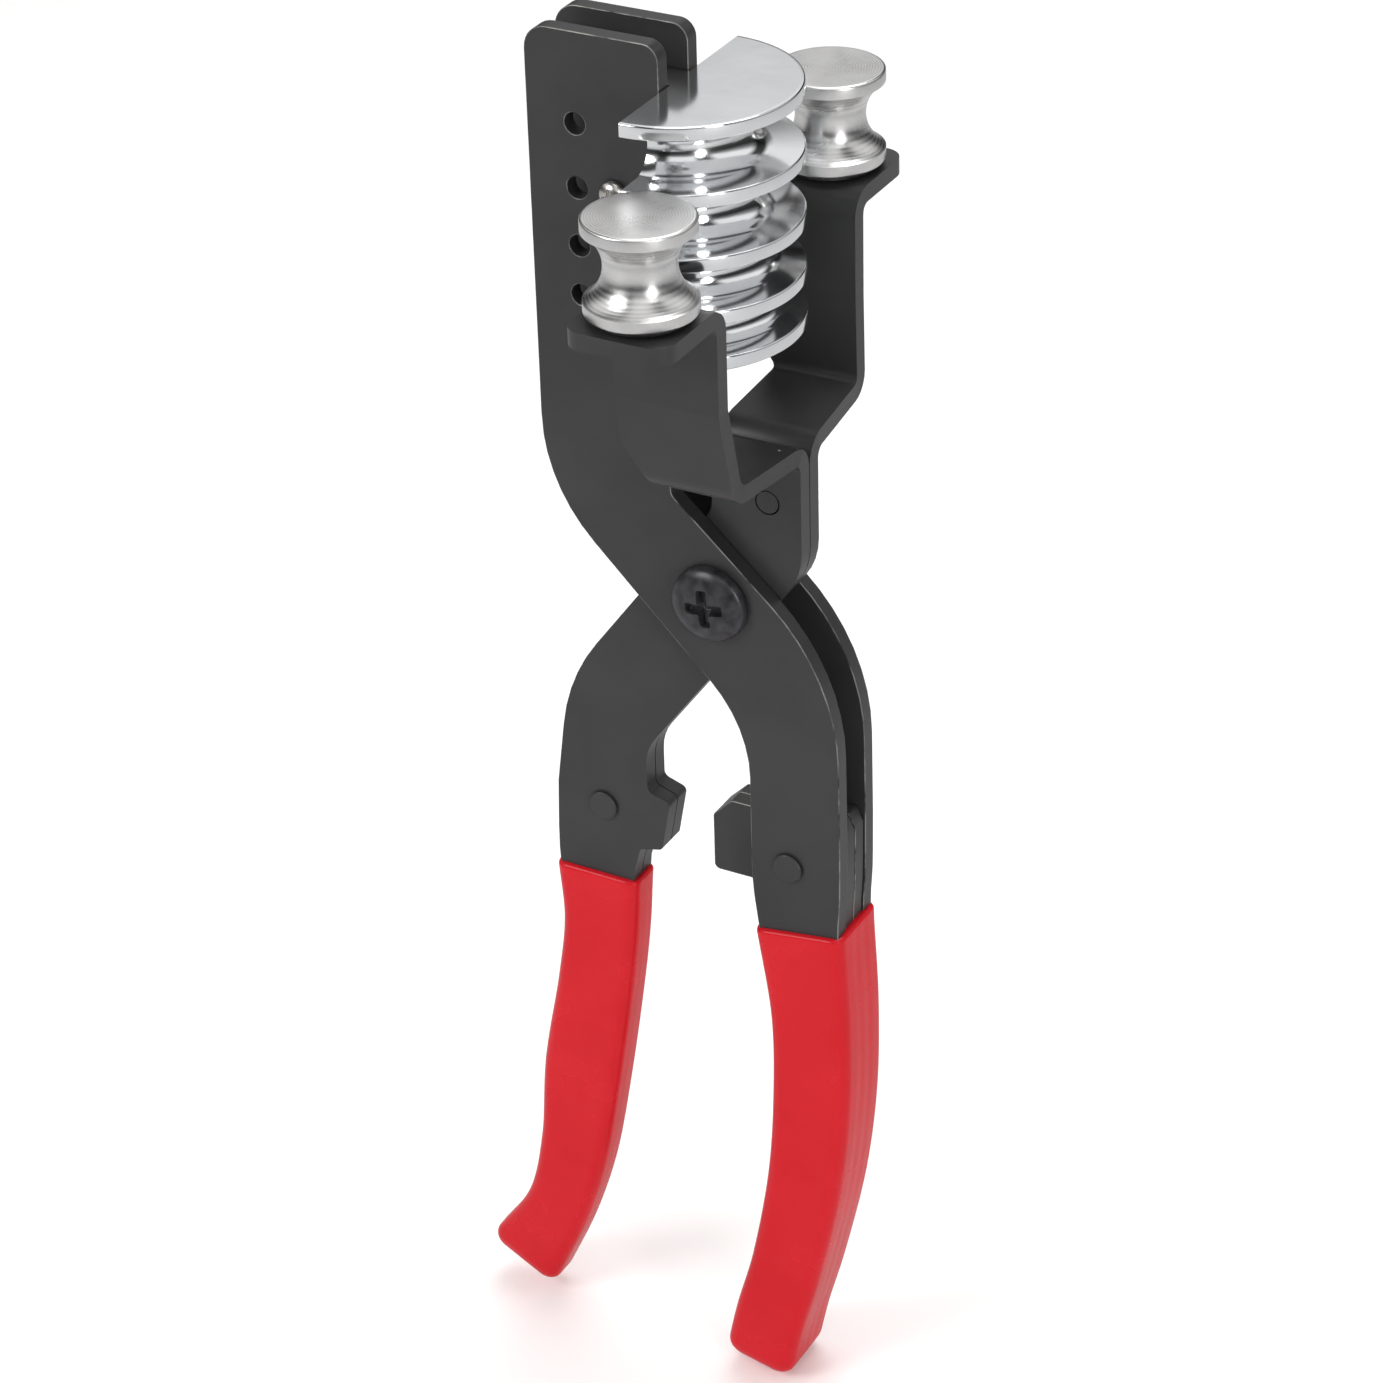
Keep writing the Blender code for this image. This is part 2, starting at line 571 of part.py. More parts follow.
def yoke_path():
    """Return points (y, z) along the middle of the front yoke's folded sheet, and the length to each."""
    flat = -(INNER_Y + PLATE / 2)
    flange_z = flange_top() - PLATE / 2
    corners = [(flat, NECK_RIGHT), (flat, SHELF_Z), (-LEG_FOOT_Y, SHELF_Z + SHELF_RISE),
               (-LEG_Y, SHELF_Z + LEG_STRAIGHT_RISE), (-LEG_Y, flange_z), (-FLANGE_END_Y, flange_z)]
    points = [Vector(corners[0])]
    for before, corner, after in zip(corners, corners[1:], corners[2:]):
        points += fillet(before, corner, after, BEND, 18.0)
    points.append(Vector(corners[-1]))
    lengths = [NECK_RIGHT]
    for one, two in zip(points, points[1:]):
        lengths.append(lengths[-1] + (two - one).length)
    return points, lengths


def flange_top():
    """Return the height of the flanges that the rollers stand on."""
    return ROLLER_TOP - ROLLER_HEIGHT - WASHER_THICK - 2 * GAP


def length_at(points, lengths, z):
    """Return the length along the sheet where its upright leg passes this height."""
    for one, two, start in zip(points, points[1:], lengths):
        if one.y <= z < two.y and two.x < -LEG_FOOT_Y:
            return start + (z - one.y)
    return lengths[-1]


def line_crossing(point, direction, x):
    """Return the height at which a line through a point passes x."""
    return point[1] + (x - point[0]) * direction[1] / direction[0]


def roller_plate_outline(points, lengths):
    """Return the flat blank of a roller arm plate, from its handle up to its yoke's flange."""
    right, end, left = handle_sides(ROLLER_HANDLE)
    slope = math.radians(BAND_SLOPE)
    along = (math.cos(slope), math.sin(slope))
    right_line = (BAND_RIGHT * math.sin(slope), -BAND_RIGHT * math.cos(slope))
    left_line = (-BAND_LEFT * math.sin(slope), BAND_LEFT * math.cos(slope))
    lug = STOP_X - GAP
    lug_top = opened(lug, LUG_TOP)
    lug_foot = opened(lug, LUG_FOOT)
    inner_x = lug_top[0] - LUG_REACH
    outer_x = left[-1].x + SHOULDER_IN
    straight = length_at(points, lengths, SHELF_Z + LEG_STRAIGHT_RISE)
    corner = length_at(points, lengths, SHELF_Z + LEG_CORNER_RISE)
    leg_left = ROLLER_X - ROLLER_RADIUS - YOKE_MARGIN
    leg_right = ROLLER_X + ROLLER_RADIUS + YOKE_MARGIN
    total = lengths[-1]
    upper = [
        (outer_x, line_crossing(left_line, along, outer_x), SHOULDER_RADIUS),
        (NECK_LEFT, line_crossing(left_line, along, NECK_LEFT), 5.0),
        (NECK_LEFT, corner - LEG_FLARE, 8.0),
        (leg_left, corner, 8.0),
        (leg_left, total, FLANGE_CORNER),
        (leg_right, total, FLANGE_CORNER),
        (leg_right, straight, 12.0),
        (NECK_RIGHT, SHELF_Z, 12.0),
        (NECK_RIGHT, line_crossing(right_line, along, NECK_RIGHT), 14.0),
        (inner_x, line_crossing(right_line, along, inner_x), 10.0),
        (inner_x, lug_top[1] + LUG_REACH / 3, 1.4),
        (*lug_top, 1.2),
        (*lug_foot, 1.0),
        (lug_foot[0] - LUG_REACH, lug_foot[1] - LUG_REACH / 4, 0.6),
        (right[0].x, right[0].y, 0.0),
    ]
    down = [point for point in right if point.y < upper[-2][1] - 1.0]
    upper[-1] = (down[0].x, down[0].y, 0.0)
    ring = rounded([(left[-1].x, left[-1].y, 0.0), *upper])
    return ring[:-1] + down + end + left[:-1]


def fold(mesh, points, lengths, mirror):
    """Bend a flat blank, whose Z is its developed length, along the yoke's path."""
    for length in lengths[1:-1]:
        bmesh.ops.bisect_plane(mesh, geom=mesh.verts[:] + mesh.edges[:] + mesh.faces[:], dist=1e-5,
                               plane_co=(0.0, 0.0, length), plane_no=(0.0, 0.0, 1.0))
    normals = []
    for index in range(len(points)):
        ways = [(two - one).normalized() for one, two in zip(points, points[1:])]
        before = ways[max(index - 1, 0)]
        after = ways[min(index, len(ways) - 1)]
        mean = (before + after).normalized()
        normals.append(Vector((-mean.y, mean.x)) / mean.dot(after))
    for vert in mesh.verts:
        if vert.co.z > lengths[0]:
            k = min(sum(length <= vert.co.z - 1e-6 for length in lengths) - 1, len(lengths) - 2)
            share = (vert.co.z - lengths[k]) / (lengths[k + 1] - lengths[k])
            offset = -(vert.co.y - points[0].x)
            place = points[k].lerp(points[k + 1], share) + normals[k].lerp(normals[k + 1], share) * offset
            vert.co.y, vert.co.z = place
    if mirror:
        bmesh.ops.scale(mesh, vec=(1.0, -1.0, 1.0), verts=mesh.verts)


def add_roller_arm(arm):
    """Add the roller arm's two folded plates, its rivets and its grip."""
    points, lengths = yoke_path()
    outline = roller_plate_outline(points, lengths)
    axle = lengths[-1] - (FLANGE_END_Y - ROLLER_Y)
    holes = [circle(0.0, 0.0, PIVOT_RADIUS + GAP), circle(ROLLER_X, axle, JOURNAL_RADIUS + GAP)]
    holes += [circle(x, z, RIVET_RADIUS + GAP, 16) for x, z in (*ROLLER_RIVETS, NECK_RIVET)]
    for name, mirror in (("roller_arm_plate_front", False), ("roller_arm_plate_back", True)):
        blank = prism(outline, holes, -MIDDLE_Y, -INNER_Y)
        fold(blank, points, lengths, mirror)
        add_piece(name, blank, "black_paint", arm)
    add_headed_rivet("roller_arm_rivet", ROLLER_RIVETS[0], MIDDLE_Y, arm)
    add_flush_rivet("roller_arm_tail_rivet", ROLLER_RIVETS[1], MIDDLE_Y, arm)
    add_flush_rivet("roller_arm_neck_rivet", NECK_RIVET, MIDDLE_Y, arm)
    add_grip("roller_arm_grip", ROLLER_HANDLE, ROLLER_GRIP_TOP, ROLLER_GRIP_TILT, MIDDLE_Y, arm)


def roller_profile(steps=8):
    """Return the spool's profile, from the journal's tail up to the top face."""
    low = ROLLER_TOP - ROLLER_HEIGHT
    clip_top = flange_top() - PLATE - GAP
    clip_foot = clip_top - CLIP_THICK - GAP
    tail = clip_foot - JOURNAL_TAIL
    neck = JOURNAL_RADIUS - CLIP_GROOVE
    ease = 0.4
    points = [(0.0, tail), (JOURNAL_RADIUS - ease, tail), (JOURNAL_RADIUS, tail + ease),
              (JOURNAL_RADIUS, clip_foot), (neck, clip_foot), (neck, clip_top + GAP),
              (JOURNAL_RADIUS, clip_top + GAP), (JOURNAL_RADIUS, low),
              (ROLLER_RADIUS - ease, low), (ROLLER_RADIUS, low + ease)]
    half = ROLLER_HEIGHT / 2 - ROLLER_RIM
    waist = ROLLER_RADIUS - WAIST_DEPTH
    bow = (half ** 2 + WAIST_DEPTH ** 2) / (2 * WAIST_DEPTH)
    middle = low + ROLLER_HEIGHT / 2
    for k in range(steps + 1):
        z = half * math.sin(math.pi / 2 * (2 * k / steps - 1))
        points.append((waist + bow - math.sqrt(bow ** 2 - z ** 2), middle + z))
    points += [(ROLLER_RADIUS, ROLLER_TOP - ease), (ROLLER_RADIUS - ease, ROLLER_TOP), (0.0, ROLLER_TOP)]
    return points


def add_roller(arm, side, name):
    """Add one roller on its own empty, with its washer and its retaining clip."""
    at = (ROLLER_X, side * ROLLER_Y, 0.0)
    spin = frame_empty(name + "_axis", arm, at)
    add_piece("roller_" + name, turned(roller_profile(), 32), "turned_steel", spin)
    washer_low = flange_top() + GAP
    washer = washer_mesh(JOURNAL_RADIUS + GAP, ROLLER_RADIUS - WASHER_INSET, washer_low,
                         washer_low + WASHER_THICK)
    add_piece("thrust_washer_" + name, washer, "blackened_steel", arm, at)
    clip_top = flange_top() - PLATE - GAP
    clip = washer_mesh(JOURNAL_RADIUS - CLIP_GROOVE + GAP, CLIP_RADIUS, clip_top - CLIP_THICK, clip_top)
    add_piece("roller_clip_" + name, clip, "zinc", spin)


# ---- assembly -------------------------------------------------------------------------------------

def stand_on_origin(root):
    """Move the whole tool so that the middle of its footprint box is the origin."""
    bpy.context.view_layer.update()
    graph = bpy.context.evaluated_depsgraph_get()
    points = []
    for item in bpy.data.objects:
        if item.type == "MESH" and not item.hide_render:
            seen = item.evaluated_get(graph)
            points += [seen.matrix_world @ Vector(corner) for corner in seen.bound_box]
    low = Vector([min(p[i] for p in points) for i in range(3)])
    high = Vector([max(p[i] for p in points) for i in range(3)])
    middle = (low + high) / 2
    root.location -= Vector((middle.x, middle.y, low.z))
    bpy.context.view_layer.update()


def main():
    """Build the whole tool."""
    clear_scene()
    root = frame_empty("former_arm")
    arm = frame_empty("roller_arm", root)
    add_former_arm(root)
    add_former(root)
    add_pivot(root)
    add_roller_arm(arm)
    add_roller(arm, -1.0, "front")
    add_roller(arm, 1.0, "back")
    stand_on_origin(root)
    print("pivot axis, metres:", [round(v, 5) for v in root.matrix_world.translation])


main()
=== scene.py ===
# %% [markdown]
# # A plier-type tube bender
# The tool has two black steel arms that cross at a screw.  One arm holds a chromed half-round former
# with four grooves.  The other ends in a forked yoke with two turned rollers.  Squeezing the red grips
# draws the rollers past the former and wraps a tube round one groove.
#
# The imported model gives the place of every piece.  We could type those places in again, but then the
# looks and the motion could drift apart.  So we load the imported model first.

# %% Load the imported tool
import json
import math

import bmesh
import bpy
import numpy as np
from mathutils import Matrix, Vector


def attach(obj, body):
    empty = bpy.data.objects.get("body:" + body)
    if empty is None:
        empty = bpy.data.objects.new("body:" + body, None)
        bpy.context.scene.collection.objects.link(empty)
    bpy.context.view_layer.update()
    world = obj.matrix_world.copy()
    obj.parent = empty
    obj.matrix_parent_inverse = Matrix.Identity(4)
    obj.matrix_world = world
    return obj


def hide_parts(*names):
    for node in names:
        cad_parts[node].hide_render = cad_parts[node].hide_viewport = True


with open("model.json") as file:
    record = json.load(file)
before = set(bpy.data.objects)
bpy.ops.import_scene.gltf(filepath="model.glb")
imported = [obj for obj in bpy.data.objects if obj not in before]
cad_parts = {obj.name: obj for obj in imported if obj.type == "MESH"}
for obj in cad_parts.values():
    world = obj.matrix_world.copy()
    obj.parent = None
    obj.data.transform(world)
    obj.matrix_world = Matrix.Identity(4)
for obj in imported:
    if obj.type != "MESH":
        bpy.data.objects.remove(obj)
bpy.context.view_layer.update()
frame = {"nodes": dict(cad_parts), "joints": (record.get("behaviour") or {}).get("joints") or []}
nodes = frame["nodes"]
pivot = np.array(next(j for j in frame["joints"] if j["name"] == "pivot")["pos_m"])
print("pieces:", len(nodes), "pivot:", pivot.round(4))

# %% [markdown]
# ## Colours and nodes
# Workshop colours are usually written down as hex codes, which are sRGB.  Blender's shaders work in
# linear light, so one function does the conversion.  A second small function adds a shader node,
# sets its values and links its inputs, which keeps each material short enough to read.

# %% Colour and node helpers
def linear(code):
    """Turn an sRGB hex code into linear values: ((c + 0.055) / 1.055) to the power 2.4, or c / 12.92."""
    parts = [int(code[k:k + 2], 16) / 255 for k in (1, 3, 5)]
    return [c / 12.92 if c <= 0.04045 else ((c + 0.055) / 1.055) ** 2.4 for c in parts] + [1.0]


def add(tree, kind, settings=None, **sockets):
    """Add a node.  settings are its properties; sockets are values, or outputs to link, by input name."""
    node = tree.nodes.new(kind)
    for name, value in (settings or {}).items():
        setattr(node, name, value)
    for name, value in sockets.items():
        key = int(name[1:]) if name[0] == "i" and name[1:].isdigit() else name.replace("_", " ")
        if isinstance(value, bpy.types.NodeSocket):
            tree.links.new(value, node.inputs[key])
        else:
            node.inputs[key].default_value = value
    return node


def new_material(name, **sockets):
    """Start a material with one Principled shader and return it with its tree and shader."""
    made = bpy.data.materials.new(name)
    made.use_nodes = True
    tree = made.node_tree
    tree.nodes.clear()
    shader = add(tree, "ShaderNodeBsdfPrincipled", **sockets)
    add(tree, "ShaderNodeOutputMaterial", Surface=shader.outputs[0])
    place = add(tree, "ShaderNodeTexCoord").outputs["Object"]
    return made, tree, shader, place


def ramp(tree, source, low, high, first=(0, 0, 0, 1), second=(1, 1, 1, 1)):
    """Add a colour ramp that runs from the first colour at low to the second at high."""
    node = add(tree, "ShaderNodeValToRGB", Fac=source)
    ends = node.color_ramp.elements
    ends[0].position, ends[1].position = low, high
    ends[0].color, ends[1].color = first, second
    return node.outputs["Color"]


print("coat black in linear light:", [round(v, 3) for v in linear("#2D2D2E")])

# %% [markdown]
# ## Shared measures
# A few sizes are needed by more than one piece: how thick the stack of plates is, where the screw heads
# sit and where the rollers stand.  They are millimetres from the pivot axis, as on a workshop drawing,
# and are named once here, because a number typed twice is sooner or later typed differently.

# %% Measures in millimetres
MM = 0.001
MIDDLE_Y, STACK_Y = 3.45, 7.05  # outer faces of the two inner plates and of the two outer plates
SEAT_Y = 7.35                   # underside of a screw head
ROLLER_X, ROLLER_Y = 3.6, 35.3  # a roller's axis
FORMER_SCREW = (-17.2, 77.3)    # X and Z of the former's screw
print("stack of plates is", 2 * STACK_Y, "mm thick")

# %% [markdown]
# ## Black coated sheet steel
# The arms are stamped from steel sheet about 3 mm thick and given a thin satin black coat.  The coat
# follows the metal, so it shows a very fine orange peel, a few pale dust specks, and slow changes of
# sheen where hands have rubbed it.  A painted texture could show all of this, but it would need the plates
# unwrapped.  Noise in the object's own space needs no unwrapping and has a real scale: millimetres for
# the peel, centimetres for the sheen.

# %% Satin black coat
def black_coat(name, base, rubbed):
    made, tree, shader, place = new_material(name, Roughness=0.4)
    shader.inputs["Specular IOR Level"].default_value = 0.4
    cloud = add(tree, "ShaderNodeTexNoise", Vector=place, Scale=38.0, Detail=3.0, Roughness=0.55)
    tone = ramp(tree, cloud.outputs["Fac"], 0.35, 0.72, linear(base), linear(rubbed))
    # Dust specks about 0.3 mm across, one every centimetre or so.
    speck = add(tree, "ShaderNodeTexVoronoi", {"feature": "F1"}, Vector=place, Scale=170.0)
    dot = ramp(tree, speck.outputs["Distance"], 0.035, 0.055, (1, 1, 1, 1), (0, 0, 0, 1))
    few = ramp(tree, speck.outputs["Color"], 0.93, 0.94)
    dust = add(tree, "ShaderNodeMath", {"operation": "MULTIPLY"}, i0=dot, i1=few)
    colour = add(tree, "ShaderNodeMixRGB", Fac=dust.outputs[0], Color1=tone, Color2=linear("#9A9A98"))
    tree.links.new(colour.outputs[0], shader.inputs["Base Color"])
    sheen = add(tree, "ShaderNodeMapRange", Value=cloud.outputs["Fac"], To_Min=0.33, To_Max=0.47)
    tree.links.new(sheen.outputs[0], shader.inputs["Roughness"])
    # Orange peel about 0.8 mm from crest to crest.
    peel = add(tree, "ShaderNodeTexNoise", Vector=place, Scale=1250.0, Detail=2.0)
    bump = add(tree, "ShaderNodeBump", Height=peel.outputs["Fac"], Strength=0.10, Distance=0.05 * MM)
    tree.links.new(bump.outputs[0], shader.inputs["Normal"])
    return made


satin_black = black_coat("satin_black_coat", "#2D2D2E", "#383738")
print("made", satin_black.name)

# %% [markdown]
# The stamped corners are where a coat is thinnest, and where the light catches in a fine bright line.  This
# material paints that highlight into the colour: a grey line of metal, broken into patches by noise.  A
# shader can find corners by itself, but it is slow and can't be carried to another program.  So this is a
# second material, and only the small bevels along the corners will carry it.

# %% Painted highlight on the corners of the sheet
def painted_corner_highlight():
    made, tree, shader, place = new_material("painted_corner_highlight", Metallic=0.6)
    patch = add(tree, "ShaderNodeTexNoise", Vector=place, Scale=160.0, Detail=5.0, Roughness=0.6)
    # Painted highlight: a grey line of metal along the corners, broken into patches by noise, stands in for
    # the light they catch.
    painted_highlight_tone = ramp(tree, patch.outputs["Fac"], 0.36, 0.56, linear("#343435"), linear("#8C8A86"))
    tree.links.new(painted_highlight_tone, shader.inputs["Base Color"])
    rough = add(tree, "ShaderNodeMapRange", Value=patch.outputs["Fac"], To_Min=0.5, To_Max=0.28)
    tree.links.new(rough.outputs[0], shader.inputs["Roughness"])
    return made


highlight_corner = painted_corner_highlight()
print("made", highlight_corner.name)

# %% [markdown]
# ## Chrome plate
# The former is steel, polished and then plated with nickel and chrome.  The eye sees a mirror with a cool
# tint, slightly blurred, with hair-fine marks along the direction of polishing.  A perfect mirror would
# look computed, so noise varies the blur and a stretched noise gives the marks.

# %% Chrome plate
def chrome_plate():
    made, tree, shader, place = new_material("chrome_plate", Metallic=1.0)
    smear = add(tree, "ShaderNodeTexNoise", Vector=place, Scale=90.0, Detail=3.0)
    tint = ramp(tree, smear.outputs["Fac"], 0.3, 0.75, linear("#E4E6E8"), linear("#F1F2F3"))
    tree.links.new(tint, shader.inputs["Base Color"])
    gloss = add(tree, "ShaderNodeMapRange", Value=smear.outputs["Fac"], To_Min=0.09, To_Max=0.17)
    tree.links.new(gloss.outputs[0], shader.inputs["Roughness"])
    # Polishing marks: noise stretched eight times along the rims, about 0.4 mm wide.
    drawn = add(tree, "ShaderNodeMapping", Vector=place, Scale=(1.0, 1.0, 8.0))
    marks = add(tree, "ShaderNodeTexNoise", Vector=drawn.outputs[0], Scale=320.0, Detail=2.0)
    bump = add(tree, "ShaderNodeBump", Height=marks.outputs["Fac"], Strength=0.12, Distance=0.06 * MM)
    tree.links.new(bump.outputs[0], shader.inputs["Normal"])
    return made


chrome = chrome_plate()
print("made", chrome.name)

# %% [markdown]
# ## Lathe-turned steel
# The rollers come off a lathe, so their tool marks are rings round their own axis: circles on the top
# face and lines round the waist.  Modelled rings would cost many faces.  A ring-shaped wave texture
# centred on the roller gives both at once, so each roller has a material centred on its own axis.

# %% Turned steel
def turned_steel(name, axis):
    made, tree, shader, place = new_material(name, Metallic=1.0)
    centred = add(tree, "ShaderNodeMapping", Vector=place, Location=(-axis[0], -axis[1], 0.0))
    # A wave of scale s repeats every 0.314 / s metres, so these tool marks are half a millimetre apart.
    rings = add(tree, "ShaderNodeTexWave", {"wave_type": "RINGS", "rings_direction": "Z"},
                Vector=centred.outputs[0], Scale=620.0, Distortion=0.6, Detail=2.0, Detail_Scale=3.0)
    cloud = add(tree, "ShaderNodeTexNoise", Vector=place, Scale=140.0, Detail=4.0)
    mixed = add(tree, "ShaderNodeMath", {"operation": "MULTIPLY_ADD"},
                i0=rings.outputs["Fac"], i1=0.35, i2=cloud.outputs["Fac"])
    tint = ramp(tree, mixed.outputs[0], 0.3, 1.0, linear("#C6C5C5"), linear("#ECEBEA"))
    tree.links.new(tint, shader.inputs["Base Color"])
    gloss = add(tree, "ShaderNodeMapRange", Value=mixed.outputs[0], To_Min=0.20, To_Max=0.36)
    tree.links.new(gloss.outputs[0], shader.inputs["Roughness"])
    bump = add(tree, "ShaderNodeBump", Height=rings.outputs["Fac"], Strength=0.16, Distance=0.05 * MM)
    tree.links.new(bump.outputs[0], shader.inputs["Normal"])
    return made


roller_axis = {side: np.array([pivot[0] + ROLLER_X * MM, pivot[1] + sign * ROLLER_Y * MM, 0.0])
               for side, sign in (("front", -1), ("back", 1))}
roller_steel = {side: turned_steel("turned_steel_" + side, axis) for side, axis in roller_axis.items()}
print("made", [m.name for m in roller_steel.values()])

# %% [markdown]
# ## Screws and nuts
# Small fasteners are either plated with bright zinc, which gives a soft grey metal with a faint crystal
# mottle, or blackened in hot oil, which leaves a dark metal with a low sheen and lighter rubbed patches.
# The two differ only in colour and gloss, so one function makes both.

# %% Zinc plate and oil black
def fastener(name, dark, light, metallic, rough_low, rough_high):
    made, tree, shader, place = new_material(name, Metallic=metallic)
    mottle = add(tree, "ShaderNodeTexNoise", Vector=place, Scale=420.0, Detail=4.0)
    tint = ramp(tree, mottle.outputs["Fac"], 0.32, 0.7, linear(dark), linear(light))
    tree.links.new(tint, shader.inputs["Base Color"])
    gloss = add(tree, "ShaderNodeMapRange", Value=mottle.outputs["Fac"], To_Min=rough_low, To_Max=rough_high)
    tree.links.new(gloss.outputs[0], shader.inputs["Roughness"])
    bump = add(tree, "ShaderNodeBump", Height=mottle.outputs["Fac"], Strength=0.1, Distance=0.05 * MM)
    tree.links.new(bump.outputs[0], shader.inputs["Normal"])
    return made


zinc = fastener("bright_zinc", "#B4B2AC", "#DCDAD5", 1.0, 0.18, 0.34)
oil_black = fastener("oil_blackened_steel", "#232325", "#434246", 0.35, 0.24, 0.40)
print("made", zinc.name, oil_black.name)

# %% [markdown]
# ## Dipped red vinyl
# The handles are heated and dipped in liquid vinyl, which sets as a thick glossy skin.  The eye sees a
# deep clean red, soft highlights along the rounded edges, and slow ripples where the skin ran before it set.
# The ripples are far too shallow to model, so they are bump.  Runs go down the handle, which is why the
# ripple noise is stretched along Z.

# %% Red vinyl
def dipped_vinyl():
    made, tree, shader, place = new_material("dipped_red_vinyl", Roughness=0.3, IOR=1.5)
    shader.inputs["Specular IOR Level"].default_value = 0.22
    cloud = add(tree, "ShaderNodeTexNoise", Vector=place, Scale=55.0, Detail=3.0)
    tint = ramp(tree, cloud.outputs["Fac"], 0.3, 0.75, linear("#C6101D"), linear("#D01624"))
    tree.links.new(tint, shader.inputs["Base Color"])
    gloss = add(tree, "ShaderNodeMapRange", Value=cloud.outputs["Fac"], To_Min=0.19, To_Max=0.33)
    tree.links.new(gloss.outputs[0], shader.inputs["Roughness"])
    # Runs about 4 mm wide and 15 mm long.
    runs = add(tree, "ShaderNodeMapping", Vector=place, Scale=(1.0, 1.0, 0.27))
    ripple = add(tree, "ShaderNodeTexNoise", Vector=runs.outputs[0], Scale=240.0, Detail=1.5)
    bump = add(tree, "ShaderNodeBump", Height=ripple.outputs["Fac"], Strength=0.22, Distance=0.18 * MM)
    tree.links.new(bump.outputs[0], shader.inputs["Normal"])
    return made


vinyl = dipped_vinyl()
print("made", vinyl.name)

# %% [markdown]
# ## Surfaces from arrays
# Most new pieces here are a stack of closed loops: a profile turned round an axis, or a section carried
# along a path.  Blender's own modifiers could spin or sweep them, but arrays keep every radius in sight.
# If every loop has the same number of points, the whole skin is a grid, and its faces follow from the
# grid's size alone.

# %% Grid skin helper
def skin(loops):
    """Vertices and faces of a stack of closed loops (rows, points, 3): each face joins point j and its
    neighbour, wrapping round, on two rows; the first and last loops are closed by one face each."""
    rows, count = loops.shape[:2]
    corner = np.arange(rows - 1)[:, None] * count + np.arange(count)[None, :]
    beside = np.arange(rows - 1)[:, None] * count + (np.arange(count)[None, :] + 1) % count
    quads = np.stack([corner, beside, beside + count, corner + count], axis=-1).reshape(-1, 4)
    caps = [list(range(count)), list(range((rows - 1) * count, rows * count))]
    return loops.reshape(-1, 3), quads.tolist() + caps


def add_piece(name, parts, materials, body, stands_for):
    """Make one object from closed skins, in metres in the tool's frame, and tie it to its body."""
    mesh = bpy.data.meshes.new(name)
    points, faces, start = [], [], 0
    for part_points, part_faces in parts:
        points.append(part_points)
        faces += [[k + start for k in face] for face in part_faces]
        start += len(part_points)
    mesh.from_pydata(np.concatenate(points).tolist(), [], faces)
    form = bmesh.new()
    form.from_mesh(mesh)
    bmesh.ops.recalc_face_normals(form, faces=form.faces)
    form.to_mesh(mesh)
    form.free()
    mesh.shade_smooth()
    mesh.set_sharp_from_angle(angle=math.radians(32))
    piece = bpy.data.objects.new(name, mesh)
    bpy.context.collection.objects.link(piece)
    for finish in materials:
        mesh.materials.append(finish)
    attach(piece, body)
    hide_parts(*stands_for)
    print(name, "faces:", len(mesh.polygons))
    return piece

# %% [markdown]
# ## The bending former
# The former is a block of steel turned with four round-bottomed grooves and then sawn in half.  We start
# with its profile, as a lathe does.  A coarse profile would show as flats in so bright a mirror, so every
# groove has 22 points and every rim edge a small quarter circle.

# %% Former profile
FORMER_X, FORMER_TOP, FORMER_RADIUS = -7.5, 98.0, 21.65
RIM, GROOVES, TONGUE = 2.65, (9.65, 9.25, 7.6, 6.2), 12.0


def former_radii(soft=0.35, brink=0.4, arc=22):
    """(radius, height) down the former: each rim has its edges rounded by quarter circles of radius soft,
    each groove is half a circle as wide as the groove, and the end faces start brink inside the edge."""
    quarter = np.linspace(0.0, math.pi / 2, 5)
    rows = [np.array([(FORMER_RADIUS - soft - brink, FORMER_TOP)])]
    top = FORMER_TOP
    for index in range(len(GROOVES) + 1):
        rows.append(np.stack([FORMER_RADIUS - soft + soft * np.sin(quarter),
                              top - soft + soft * np.cos(quarter)], axis=1))
        rows.append(np.stack([FORMER_RADIUS - soft + soft * np.cos(quarter),
                              top - RIM + soft - soft * np.sin(quarter)], axis=1))
        if index < len(GROOVES):
            half = GROOVES[index] / 2
            turn = np.linspace(0.0, math.pi, arc)
            rows.append(np.stack([FORMER_RADIUS - half * (1 + np.sin(turn)),
                                  top - RIM - half + half * np.cos(turn)], axis=1)[1:-1])
            top -= RIM + GROOVES[index]
    return np.concatenate([*rows, [(FORMER_RADIUS - soft - brink, top - RIM)]])


radii = former_radii()
former_foot = radii[-1, 1]
print("former is", round(FORMER_TOP - former_foot, 2), "mm high,", len(radii), "rows")

# %% [markdown]
# The profile now sweeps through half a turn.  Each loop is a half circle, and the straight line between
# its ends closes the flat back.  A tongue behind it fits between the arm's plates, where the screw holds
# it; on the real block both are one piece, so they share one object here.

# %% Former solid
sweep = np.linspace(-math.pi / 2, math.pi / 2, 97)
loops = np.stack([FORMER_X + radii[:, :1] * np.cos(sweep), radii[:, :1] * np.sin(sweep),
                  np.repeat(radii[:, 1:], len(sweep), axis=1)], axis=-1)
bevel = 0.4
block = np.array([(0.0, MIDDLE_Y), (0.0, -MIDDLE_Y), (-TONGUE + bevel, -MIDDLE_Y),
                  (-TONGUE, -MIDDLE_Y + bevel), (-TONGUE, MIDDLE_Y - bevel), (-TONGUE + bevel, MIDDLE_Y)])
tongue = np.stack([np.column_stack([FORMER_X + block[:, 0], block[:, 1], np.full(len(block), z)])
                   for z in (FORMER_TOP, former_foot)])
add_piece("former_block", [skin(loops * MM + pivot), skin(tongue * MM + pivot)], [chrome],
          "former_arm", ["bending_former"])

# %% [markdown]
# ## The rollers
# Each roller is a spool turned from bar: two rims with softened edges, a hollow waist between them that
# guides the tube, and a thin journal below that runs in the yoke.  It is one turned piece, so one profile
# spun round its axis is the shortest true description of it.

